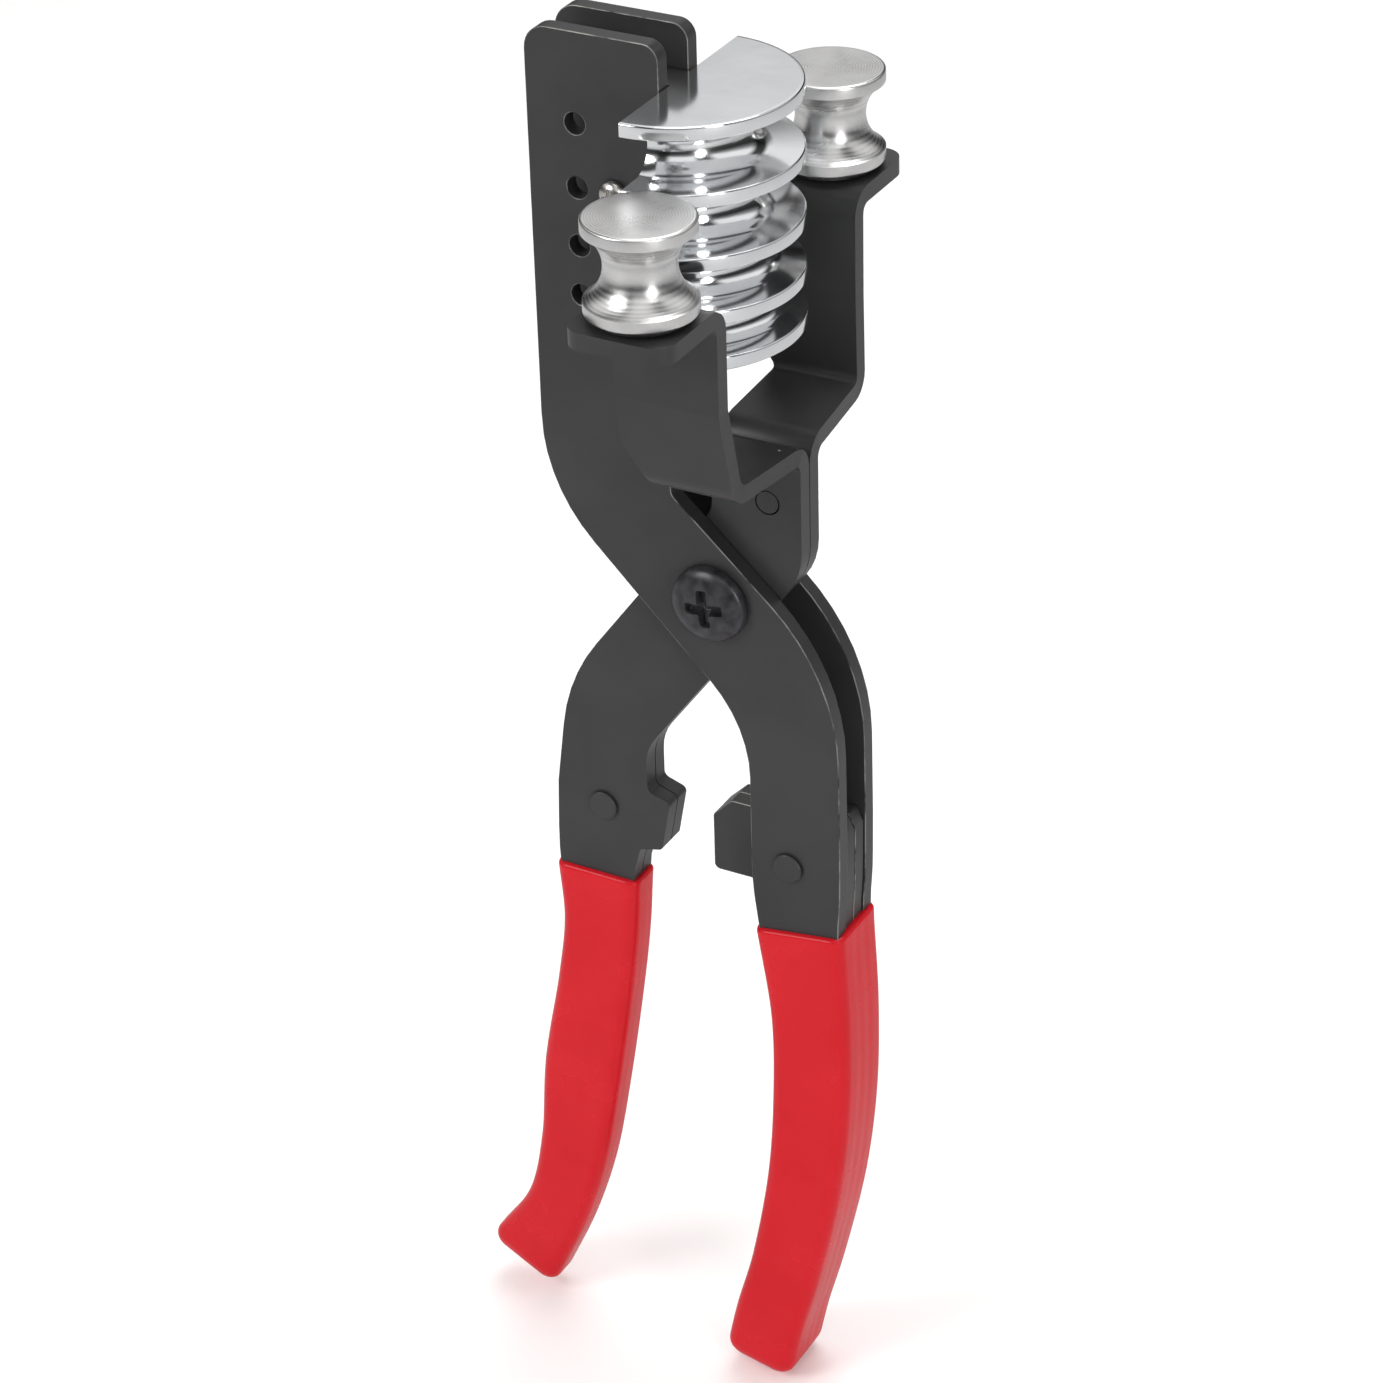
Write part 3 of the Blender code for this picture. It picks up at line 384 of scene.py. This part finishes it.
# %% Roller profile and solids
ROLLER_TOP, ROLLER_HEIGHT, ROLLER_RADIUS, ROLLER_RIM, WAIST = 88.9, 17.4, 10.0, 2.3, 6.4
JOURNAL, JOURNAL_FOOT, CLIP_TOP, CLIP_FOOT, CLIP_NECK = 3.0, 63.8, 66.7, 65.6, 2.3


def roller_radii(soft=0.55):
    """(radius, height) up the roller: the journal with its clip groove, a rim with quarter-circle edges, a
    waist that is one circular arc through both rims, the second rim, and the flat top face."""
    quarter = np.linspace(0.0, math.pi / 2, 5)
    low = ROLLER_TOP - ROLLER_HEIGHT
    half = ROLLER_HEIGHT / 2 - ROLLER_RIM
    sag = ROLLER_RADIUS - WAIST
    bow = (half ** 2 + sag ** 2) / (2 * sag)
    z = half * np.sin(np.linspace(-math.pi / 2, math.pi / 2, 41))
    waist = np.stack([WAIST + bow - np.sqrt(bow ** 2 - z ** 2), (low + ROLLER_TOP) / 2 + z], axis=1)
    rim = ROLLER_RADIUS - soft
    inner = rim - 0.25
    foot = [(0.4, JOURNAL_FOOT), (JOURNAL - 0.3, JOURNAL_FOOT), (JOURNAL, JOURNAL_FOOT + 0.3),
            (JOURNAL, CLIP_FOOT), (CLIP_NECK, CLIP_FOOT), (CLIP_NECK, CLIP_TOP), (JOURNAL, CLIP_TOP),
            (JOURNAL, low), (JOURNAL + 0.2, low), (inner, low)]
    lower = np.stack([rim + soft * np.sin(quarter), low + soft - soft * np.cos(quarter)], axis=1)
    upper = np.stack([rim + soft * np.cos(quarter), ROLLER_TOP - soft + soft * np.sin(quarter)], axis=1)
    face = [(inner, ROLLER_TOP), (5.0, ROLLER_TOP), (0.05, ROLLER_TOP)]
    return np.concatenate([foot, lower, waist, upper, face])


profile = roller_radii()
circle = np.linspace(0.0, math.tau, 112, endpoint=False)
for side, axis in roller_axis.items():
    loops = np.stack([profile[:, :1] * np.cos(circle), profile[:, :1] * np.sin(circle),
                      np.repeat(profile[:, 1:], len(circle), axis=1)], axis=-1) * MM
    loops += np.array([axis[0], axis[1], pivot[2]])
    add_piece("roller_spool_" + side, [skin(loops)], [roller_steel[side]],
              "roller_" + side, ["roller_" + side])

# %% [markdown]
# ## The dipped grips
# A grip follows the steel inside it.  Thickening the plates' outline would give hard corners, while
# liquid vinyl draws itself round.  So the grip is a rounded oblong section carried along the handle's own
# centre line, and this cell makes the line and the section.

# %% Centre line and section
FORMER_HANDLE = np.array([(16.4, -46.0, 9.3), (16.4, -58.0, 9.2), (16.8, -68.0, 8.4), (18.7, -88.0, 7.4),
                          (18.6, -108.0, 7.2), (16.7, -128.0, 6.8), (12.6, -149.0, 6.4),
                          (8.6, -164.0, 6.4), (6.2, -175.0, 6.4)])
ROLLER_HANDLE = np.array([(-27.4, -51.0, 9.2), (-28.7, -66.0, 8.3), (-28.9, -82.0, 7.2),
                          (-31.0, -98.0, 7.2), (-34.7, -119.0, 7.5), (-37.6, -139.0, 6.5),
                          (-42.4, -156.0, 5.9), (-50.8, -171.6, 7.3)])


def smooth_line(rows, steps=24):
    """Points (x, z, half width) on a Catmull-Rom curve: each span is a cubic through its two rows that
    leaves each row in the direction from the row before to the row after."""
    padded = np.vstack([2 * rows[0] - rows[1], rows, 2 * rows[-1] - rows[-2]])
    a, b, c, d = padded[:-3, None], padded[1:-2, None], padded[2:-1, None], padded[3:, None]
    u = np.linspace(0.0, 1.0, steps, endpoint=False)[None, :, None]
    spans = 0.5 * (2 * b + (c - a) * u + (2 * a - 5 * b + 4 * c - d) * u ** 2
                   + (3 * b - a - 3 * c + d) * u ** 3)
    return np.vstack([spans.reshape(-1, 3), rows[-1:]])


def oblong(corner=9, front=9, side=25):
    """Unit data of a rounded oblong, once round: (across, depth) say how far out the flat stretches reach,
    and (corner x, corner y) are the quarter-circle parts."""
    parts = []
    for k in range(4):
        turn = np.linspace(0.0, math.pi / 2, corner) + k * math.pi / 2
        sx, sy = ((1, 1), (-1, 1), (-1, -1), (1, -1))[k]
        parts.append(np.column_stack([np.full(corner, sx), np.full(corner, sy), np.cos(turn), np.sin(turn)]))
        ahead = ((-1, 1), (-1, -1), (1, -1), (1, 1))[k]
        count = front if k % 2 == 0 else side
        run = np.linspace(0.0, 1.0, count + 2)[1:-1, None]
        flat = np.array([sx, sy]) * (1 - run) + np.array(ahead) * run
        out = np.tile([np.cos(turn[-1]), np.sin(turn[-1])], (count, 1))
        parts.append(np.column_stack([flat, out]))
    return np.vstack(parts)

# %% [markdown]
# Now the section travels down the line.  The skin sags a little between the edges of the stacked plates,
# which shows as faint ridges down the narrow sides, and it ends in a rounded toe and a thin lip at the dip
# line.  The dip line leans where the handle was dipped at a slant.

# %% Grip solids
def grip_loops(rows, top, tilt, depth, plates, cover=1.04, cap=2.3, toe=5.0, lip=0.9, round_edge=2.5):
    """Loops down a grip: the oblong section is as wide as the handle plus its cover and ends cap below it;
    its last rows shrink by a quarter circle of radius toe, its first by one of radius lip; near the dip
    line the rows slide along the handle in proportion to their distance across it, which tilts the line."""
    line = smooth_line(rows)
    run = np.concatenate([[0.0], np.cumsum(np.hypot(*np.diff(line[:, :2], axis=0).T))])
    along = np.gradient(line[:, :2], run, axis=0)
    start = np.interp(-top, -line[:, 1], run)
    reach = run[-1] + cap
    eased = 1 - np.cos(np.linspace(0.0, math.pi / 2, 9))
    places = np.concatenate([start + lip * eased, np.linspace(start + lip + 1.0, reach - toe - 0.8, 110),
                             reach - toe + toe * np.sin(np.linspace(0.0, math.pi / 2, 12))])
    past = np.clip((places - (reach - toe)) / toe, 0.0, 1.0)
    before = np.clip((start + lip - places) / lip, 0.0, 1.0)
    shrink = toe * (1 - np.sqrt(1 - past ** 2)) + lip * (1 - np.sqrt(1 - before ** 2))
    shape = oblong()
    width = (np.interp(places, run, line[:, 2]) + cover - shrink)[:, None]
    deep = (depth + cover - shrink)[:, None]
    edge = np.minimum(round_edge, np.minimum(width, deep) * 0.9)
    across = shape[:, 0] * (width - edge) + shape[:, 2] * edge
    back = shape[:, 1] * (deep - edge) + shape[:, 3] * edge
    # Faint ridges over each plate's edge, on the narrow sides only.
    ridge_height = 0.025
    ridge = ridge_height * np.cos(back / depth * math.pi * plates) * np.abs(shape[:, 2]) ** 6
    across += np.sign(shape[:, 2]) * np.where(shrink[:, None] > 0.0, 0.0, ridge) * (np.abs(back) < depth)
    fade = np.clip(1.0 - (places - start) / 18.0, 0.0, 1.0)[:, None] ** 2
    slide = across * math.tan(math.radians(tilt)) * fade
    spot = places[:, None] + slide
    inside = np.clip(spot, 0.0, run[-1])
    tangent = np.stack([np.interp(inside, run, along[:, k]) for k in (0, 1)], axis=-1)
    tangent /= np.linalg.norm(tangent, axis=-1, keepdims=True)
    centre = np.stack([np.interp(inside, run, line[:, k]) for k in (0, 1)], axis=-1)
    centre += tangent * (spot - inside)[..., None]
    x = centre[..., 0] - tangent[..., 1] * across
    z = centre[..., 1] + tangent[..., 0] * across
    return np.stack([x, back, z], axis=-1) * MM + pivot


add_piece("former_arm_sleeve", [skin(grip_loops(FORMER_HANDLE, -67.6, -3.0, STACK_Y, 4))], [vinyl],
          "former_arm", ["former_arm_grip"])
add_piece("roller_arm_sleeve", [skin(grip_loops(ROLLER_HANDLE, -68.7, 0.0, MIDDLE_Y, 2))], [vinyl],
          "roller_arm", ["roller_arm_grip"])

# %% [markdown]
# ## The stamped plates
# A stamped plate never has a knife edge: its corners carry a radius of a few tenths of a millimetre,
# and that is where the light catches.  The plates could be drawn again from arrays,
# but the imported ones already have the right outline.  So a merged copy of each gets a small bevel, and the
# bevel's new faces get the painted corner highlight.

# %% Soften the plates
PLATES = {
    "former_arm_plate_front": "former_arm", "former_arm_plate_back": "former_arm",
    "former_arm_spacer_front": "former_arm", "former_arm_spacer_back": "former_arm",
    "roller_arm_plate_front": "roller_arm", "roller_arm_plate_back": "roller_arm",
}


def softened(node, body, width=0.38):
    """Copy a plate, merge its loose triangles and round its corners by width millimetres."""
    mesh = bpy.data.meshes.new(node + "_coated")
    form = bmesh.new()
    form.from_mesh(nodes[node].data)
    bmesh.ops.remove_doubles(form, verts=form.verts, dist=1e-6)
    bmesh.ops.dissolve_limit(form, angle_limit=math.radians(0.4), verts=form.verts, edges=form.edges)
    bmesh.ops.recalc_face_normals(form, faces=form.faces)
    form.to_mesh(mesh)
    form.free()
    if "custom_normal" in mesh.attributes:
        mesh.attributes.remove(mesh.attributes["custom_normal"])
    mesh.materials.clear()
    for finish in (satin_black, highlight_corner):
        mesh.materials.append(finish)
    mesh.polygons.foreach_set("material_index", np.zeros(len(mesh.polygons), np.int32))
    mesh.shade_smooth()
    mesh.set_sharp_from_angle(angle=math.radians(32))
    piece = bpy.data.objects.new(node + "_coated", mesh)
    bpy.context.collection.objects.link(piece)
    corner = piece.modifiers.new("stamped_corner", "BEVEL")
    corner.width = width * MM
    corner.segments = 2
    corner.limit_method = "ANGLE"
    corner.angle_limit = math.radians(40)
    # The bevel's new faces take the second material, the painted highlight on the corners.
    corner.material = 1
    corner.harden_normals = True
    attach(piece, body)
    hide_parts(node)
    return piece


for node, body in PLATES.items():
    softened(node, body)
print("softened", len(PLATES), "plates")

# %% [markdown]
# ## Cross-recess screws
# A screw head is forged: a low dome on a thin brim, with a cross punched into its middle that narrows as
# it goes down.  Cutting the cross with a boolean leaves long thin faces that shade badly.  Here the head is
# one height field on a round grid, dome height minus recess depth, and the shank below it is turned.  The
# grid's rings are closer together over the recess, where the detail is.

# %% Screw heads
def ease(low, high, value):
    """Smooth step: 0 below low, 1 above high, and 3t squared minus 2t cubed between."""
    t = np.clip((value - low) / (high - low), 0.0, 1.0)
    return t * t * (3 - 2 * t)


def screw_loops(radius, height, reach, arm, depth, shank, seat, tail, turn, count=144):
    """Loops from the head's middle outwards over the dome, down the brim, in under the head and down the
    shank.  Dome: height times the square root of 1 - (r / radius) squared.  Cross: inside either arm, whose
    half width and length shrink with depth, the surface drops by depth, shallower towards the arm's end."""
    around = np.linspace(0.0, math.tau, count, endpoint=False)[None, :]
    rings = np.concatenate([np.linspace(0.02, reach * 1.15, 44), np.linspace(reach * 1.15, radius, 16)[1:]])
    r = rings[:, None]
    x, y = r * np.cos(around), r * np.sin(around)
    brim = height * 0.25
    top = brim + (height - brim) * np.sqrt(np.clip(1 - (r / radius) ** 2, 0.0, 1.0)) + 0 * x
    u, v = x * math.cos(turn) + y * math.sin(turn), y * math.cos(turn) - x * math.sin(turn)
    blur = arm * 0.45
    inside = 0.0
    for long, cross in ((np.abs(u), np.abs(v)), (np.abs(v), np.abs(u))):
        across = 1 - ease(arm - blur * 0.2, arm + blur, cross)
        end = 1 - ease(reach * 0.82, reach, long)
        inside = np.maximum(inside, across * end * (1 - 0.45 * long / reach))
    head = np.stack([x, y, seat + top - depth * inside], axis=-1)
    under = [(radius, seat + 0.15), (radius - 0.15, seat), (shank, seat), (shank, tail + 0.5),
             (shank - 0.5, tail)]
    rest = np.stack([np.stack([q * np.cos(around[0]), q * np.sin(around[0]), np.full(count, h)], axis=-1)
                     for q, h in under])
    return np.concatenate([head, rest])


def stand_across(loops, place):
    """Turn loops made along Z so that their top faces the front, which is -Y, and put them in place."""
    turned = np.stack([loops[..., 0], -loops[..., 2], loops[..., 1]], axis=-1)
    return turned * MM + pivot + np.array([place[0], 0.0, place[1]]) * MM


large = screw_loops(radius=7.5, height=3.4, reach=3.9, arm=0.75, depth=2.3, shank=4.0,
                    seat=SEAT_Y, tail=-16.35, turn=0.12)
add_piece("pivot_bolt", [skin(stand_across(large, (0.0, 0.0)))], [oil_black],
          "former_arm", ["pivot_screw"])
small = screw_loops(radius=2.7, height=1.9, reach=1.6, arm=0.32, depth=1.0, shank=1.5,
                    seat=SEAT_Y, tail=-10.75, turn=0.2, count=96)
add_piece("former_fixing", [skin(stand_across(small, FORMER_SCREW))], [zinc],
          "former_arm", ["former_screw"])

# %% [markdown]
# ## Fasteners that stay as they are
# The nuts, rivets, clips and washers are small plain parts that already have their real shape in the
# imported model.  Making them again would add faces and show nothing new, so they only take their finish.

# %% Finishes of the small parts
FINISH = {
    "pivot_washer": oil_black, "pivot_nut": oil_black, "former_nut": zinc,
    "roller_clip_front": zinc, "roller_clip_back": zinc,
    "thrust_washer_front": oil_black, "thrust_washer_back": oil_black,
    "former_arm_rivet": satin_black, "former_arm_tail_rivet": satin_black,
    "roller_arm_rivet": satin_black, "roller_arm_tail_rivet": satin_black,
    "roller_arm_neck_rivet": satin_black,
}
for node, finish in FINISH.items():
    nodes[node].material_slots[0].material = finish
print("finished", len(FINISH), "small parts")

# %% [markdown]
# ## Floor
# A product is usually shown on a sweep of white paper.  The paper reaches three metres, so that its edge
# stays out of sight, and lies a little below the grips' lowest points.

# %% Floor
floor_mesh = bpy.data.meshes.new("floor")
reach = 3.0
drop = 0.0004
floor_mesh.from_pydata([(-reach, -reach, 0), (reach, -reach, 0), (reach, reach, 0), (-reach, reach, 0)],
                       [], [(0, 1, 2, 3)])
floor = bpy.data.objects.new("floor", floor_mesh)
bpy.context.collection.objects.link(floor)
floor.location.z = -drop
paper, paper_tree, paper_shader, _ = new_material("white_paper", Roughness=0.7)
paper_shader.inputs["Specular IOR Level"].default_value = 0.15
paper_shader.inputs["Emission Color"].default_value = (1.0, 1.0, 1.0, 1.0)
paper_shader.inputs["Emission Strength"].default_value = 0.1
# Polished metal would mirror the whole floor as plain white, so its rays meet a greyer paper.
mirrored = add(paper_tree, "ShaderNodeLightPath").outputs["Is Glossy Ray"]
shade = add(paper_tree, "ShaderNodeMixRGB", Fac=mirrored, Color1=linear("#FBFBFA"), Color2=linear("#BEBEBE"))
paper_tree.links.new(shade.outputs[0], paper_shader.inputs["Base Color"])
floor_mesh.materials.append(paper)
print("floor is", 2 * reach, "m square")

# %% [markdown]
# ## Sky
# A white sky would light the tool well, but chrome only looks like chrome when it has something dark to
# mirror as well as something bright.  So the sky darkens towards its horizon, and two black cards stand
# at the sides, as in a studio.  The camera itself sees plain white.

# %% Sky
sky = bpy.data.worlds.new("tent")
bpy.context.scene.world = sky
sky.use_nodes = True
tree = sky.node_tree
tree.nodes.clear()
way = add(tree, "ShaderNodeTexCoord").outputs["Generated"]
height = add(tree, "ShaderNodeSeparateXYZ", Vector=way).outputs["Z"]


def grey_ramp(source, stops):
    """Add a ramp through grey levels given as (position, level), from position 0 to position 1."""
    node = add(tree, "ShaderNodeValToRGB", Fac=source)
    ends = node.color_ramp.elements
    for spot, level in stops:
        stop = ends[0] if spot == 0.0 else ends[-1] if spot == 1.0 else ends.new(spot)
        stop.color = (level, level, level, 1.0)
    return node.outputs["Color"]


bands = grey_ramp(height, ((0.0, 0.04), (0.16, 0.02), (0.30, 0.25), (0.42, 0.95), (1.0, 0.85)))
# The cards stand to the camera's left and right, so their place is measured along its level direction.
CAMERA_LEVEL = (0.873, 0.487, 0.0)
across = add(tree, "ShaderNodeVectorMath", {"operation": "DOT_PRODUCT"}, i0=way, i1=CAMERA_LEVEL)
place = add(tree, "ShaderNodeMapRange", Value=across.outputs["Value"], From_Min=-1.0, From_Max=1.0)
cards = grey_ramp(place.outputs[0], ((0.0, 1.0), (0.16, 1.0), (0.22, 0.05), (0.30, 0.05), (0.36, 1.0),
                                     (0.64, 1.0), (0.70, 0.05), (0.80, 0.05), (0.86, 1.0), (1.0, 1.0)))
lit = add(tree, "ShaderNodeMixRGB", {"blend_type": "MULTIPLY"}, Fac=1.0, Color1=bands, Color2=cards)
glow = add(tree, "ShaderNodeBackground", Color=lit.outputs[0], Strength=1.0)
seen = add(tree, "ShaderNodeBackground", Color=(1.0, 1.0, 1.0, 1.0), Strength=1.0)
path = add(tree, "ShaderNodeLightPath").outputs["Is Camera Ray"]
both = add(tree, "ShaderNodeMixShader", i0=path, i1=glow.outputs[0], i2=seen.outputs[0])
add(tree, "ShaderNodeOutputWorld", Surface=both.outputs[0])
print("sky made with", len(tree.nodes), "nodes")

# %% [markdown]
# ## Soft boxes
# Small lamps would leave hard shadows and pinpoint highlights.  Three large oval panels wrap the light
# round the grips: a key from the front left, a narrow fill from the right for the plate edges, and a top
# light from behind for the flat faces.

# %% Soft boxes
def softbox(name, place, target, size, watts):
    """Add an oval area light at place that faces target."""
    lamp = bpy.data.lights.new(name, "AREA")
    lamp.shape = "ELLIPSE"
    lamp.size, lamp.size_y = size
    lamp.energy = watts
    box = bpy.data.objects.new(name, lamp)
    bpy.context.collection.objects.link(box)
    box.location = place
    box.rotation_euler = (Vector(target) - Vector(place)).to_track_quat("-Z", "Y").to_euler()


middle = (0.0, 0.0, 0.17)
softbox("key", (-0.75, -1.15, 1.05), middle, (0.8, 0.8), 10.5)
softbox("fill", (1.25, -0.75, 0.55), middle, (0.35, 0.8), 6.5)
softbox("top", (0.1, 0.35, 1.5), middle, (0.9, 0.9), 9.0)
print("three soft boxes")

# %% [markdown]
# ## Camera
# The camera stands about three quarters of a metre away with a long lens, which keeps the tool's lines
# nearly parallel.  Its place is given from the pivot, because the pivot is where the two arms cross and
# the eye rests.  The three axes of its matrix are built from azimuth, elevation and a small roll.

# %% Camera
CAMERA_FROM_PIVOT = np.array([0.3192, -0.5876, 0.3750])
azimuth, elevation, roll = math.radians(29.16), math.radians(30.73), math.radians(-1.66)
toward = Vector((math.sin(azimuth) * math.cos(elevation), -math.cos(azimuth) * math.cos(elevation),
                 math.sin(elevation)))
level = Vector((math.cos(azimuth), math.sin(azimuth), 0.0))
rise = toward.cross(level)
right = level * math.cos(roll) + rise * math.sin(roll)
up = rise * math.cos(roll) - level * math.sin(roll)
lens = bpy.data.cameras.new("camera")
lens.lens, lens.sensor_width = 108.94, 36.0
lens.clip_start, lens.clip_end = 0.01, 50.0
camera = bpy.data.objects.new("camera", lens)
bpy.context.collection.objects.link(camera)
camera.matrix_world = Matrix.Translation(Vector(pivot + CAMERA_FROM_PIVOT)) @ \
    Matrix((right, up, toward)).transposed().to_4x4()
bpy.context.scene.camera = camera
bpy.context.scene.view_settings.view_transform = "Standard"
print("camera at", [round(v, 3) for v in camera.matrix_world.translation])
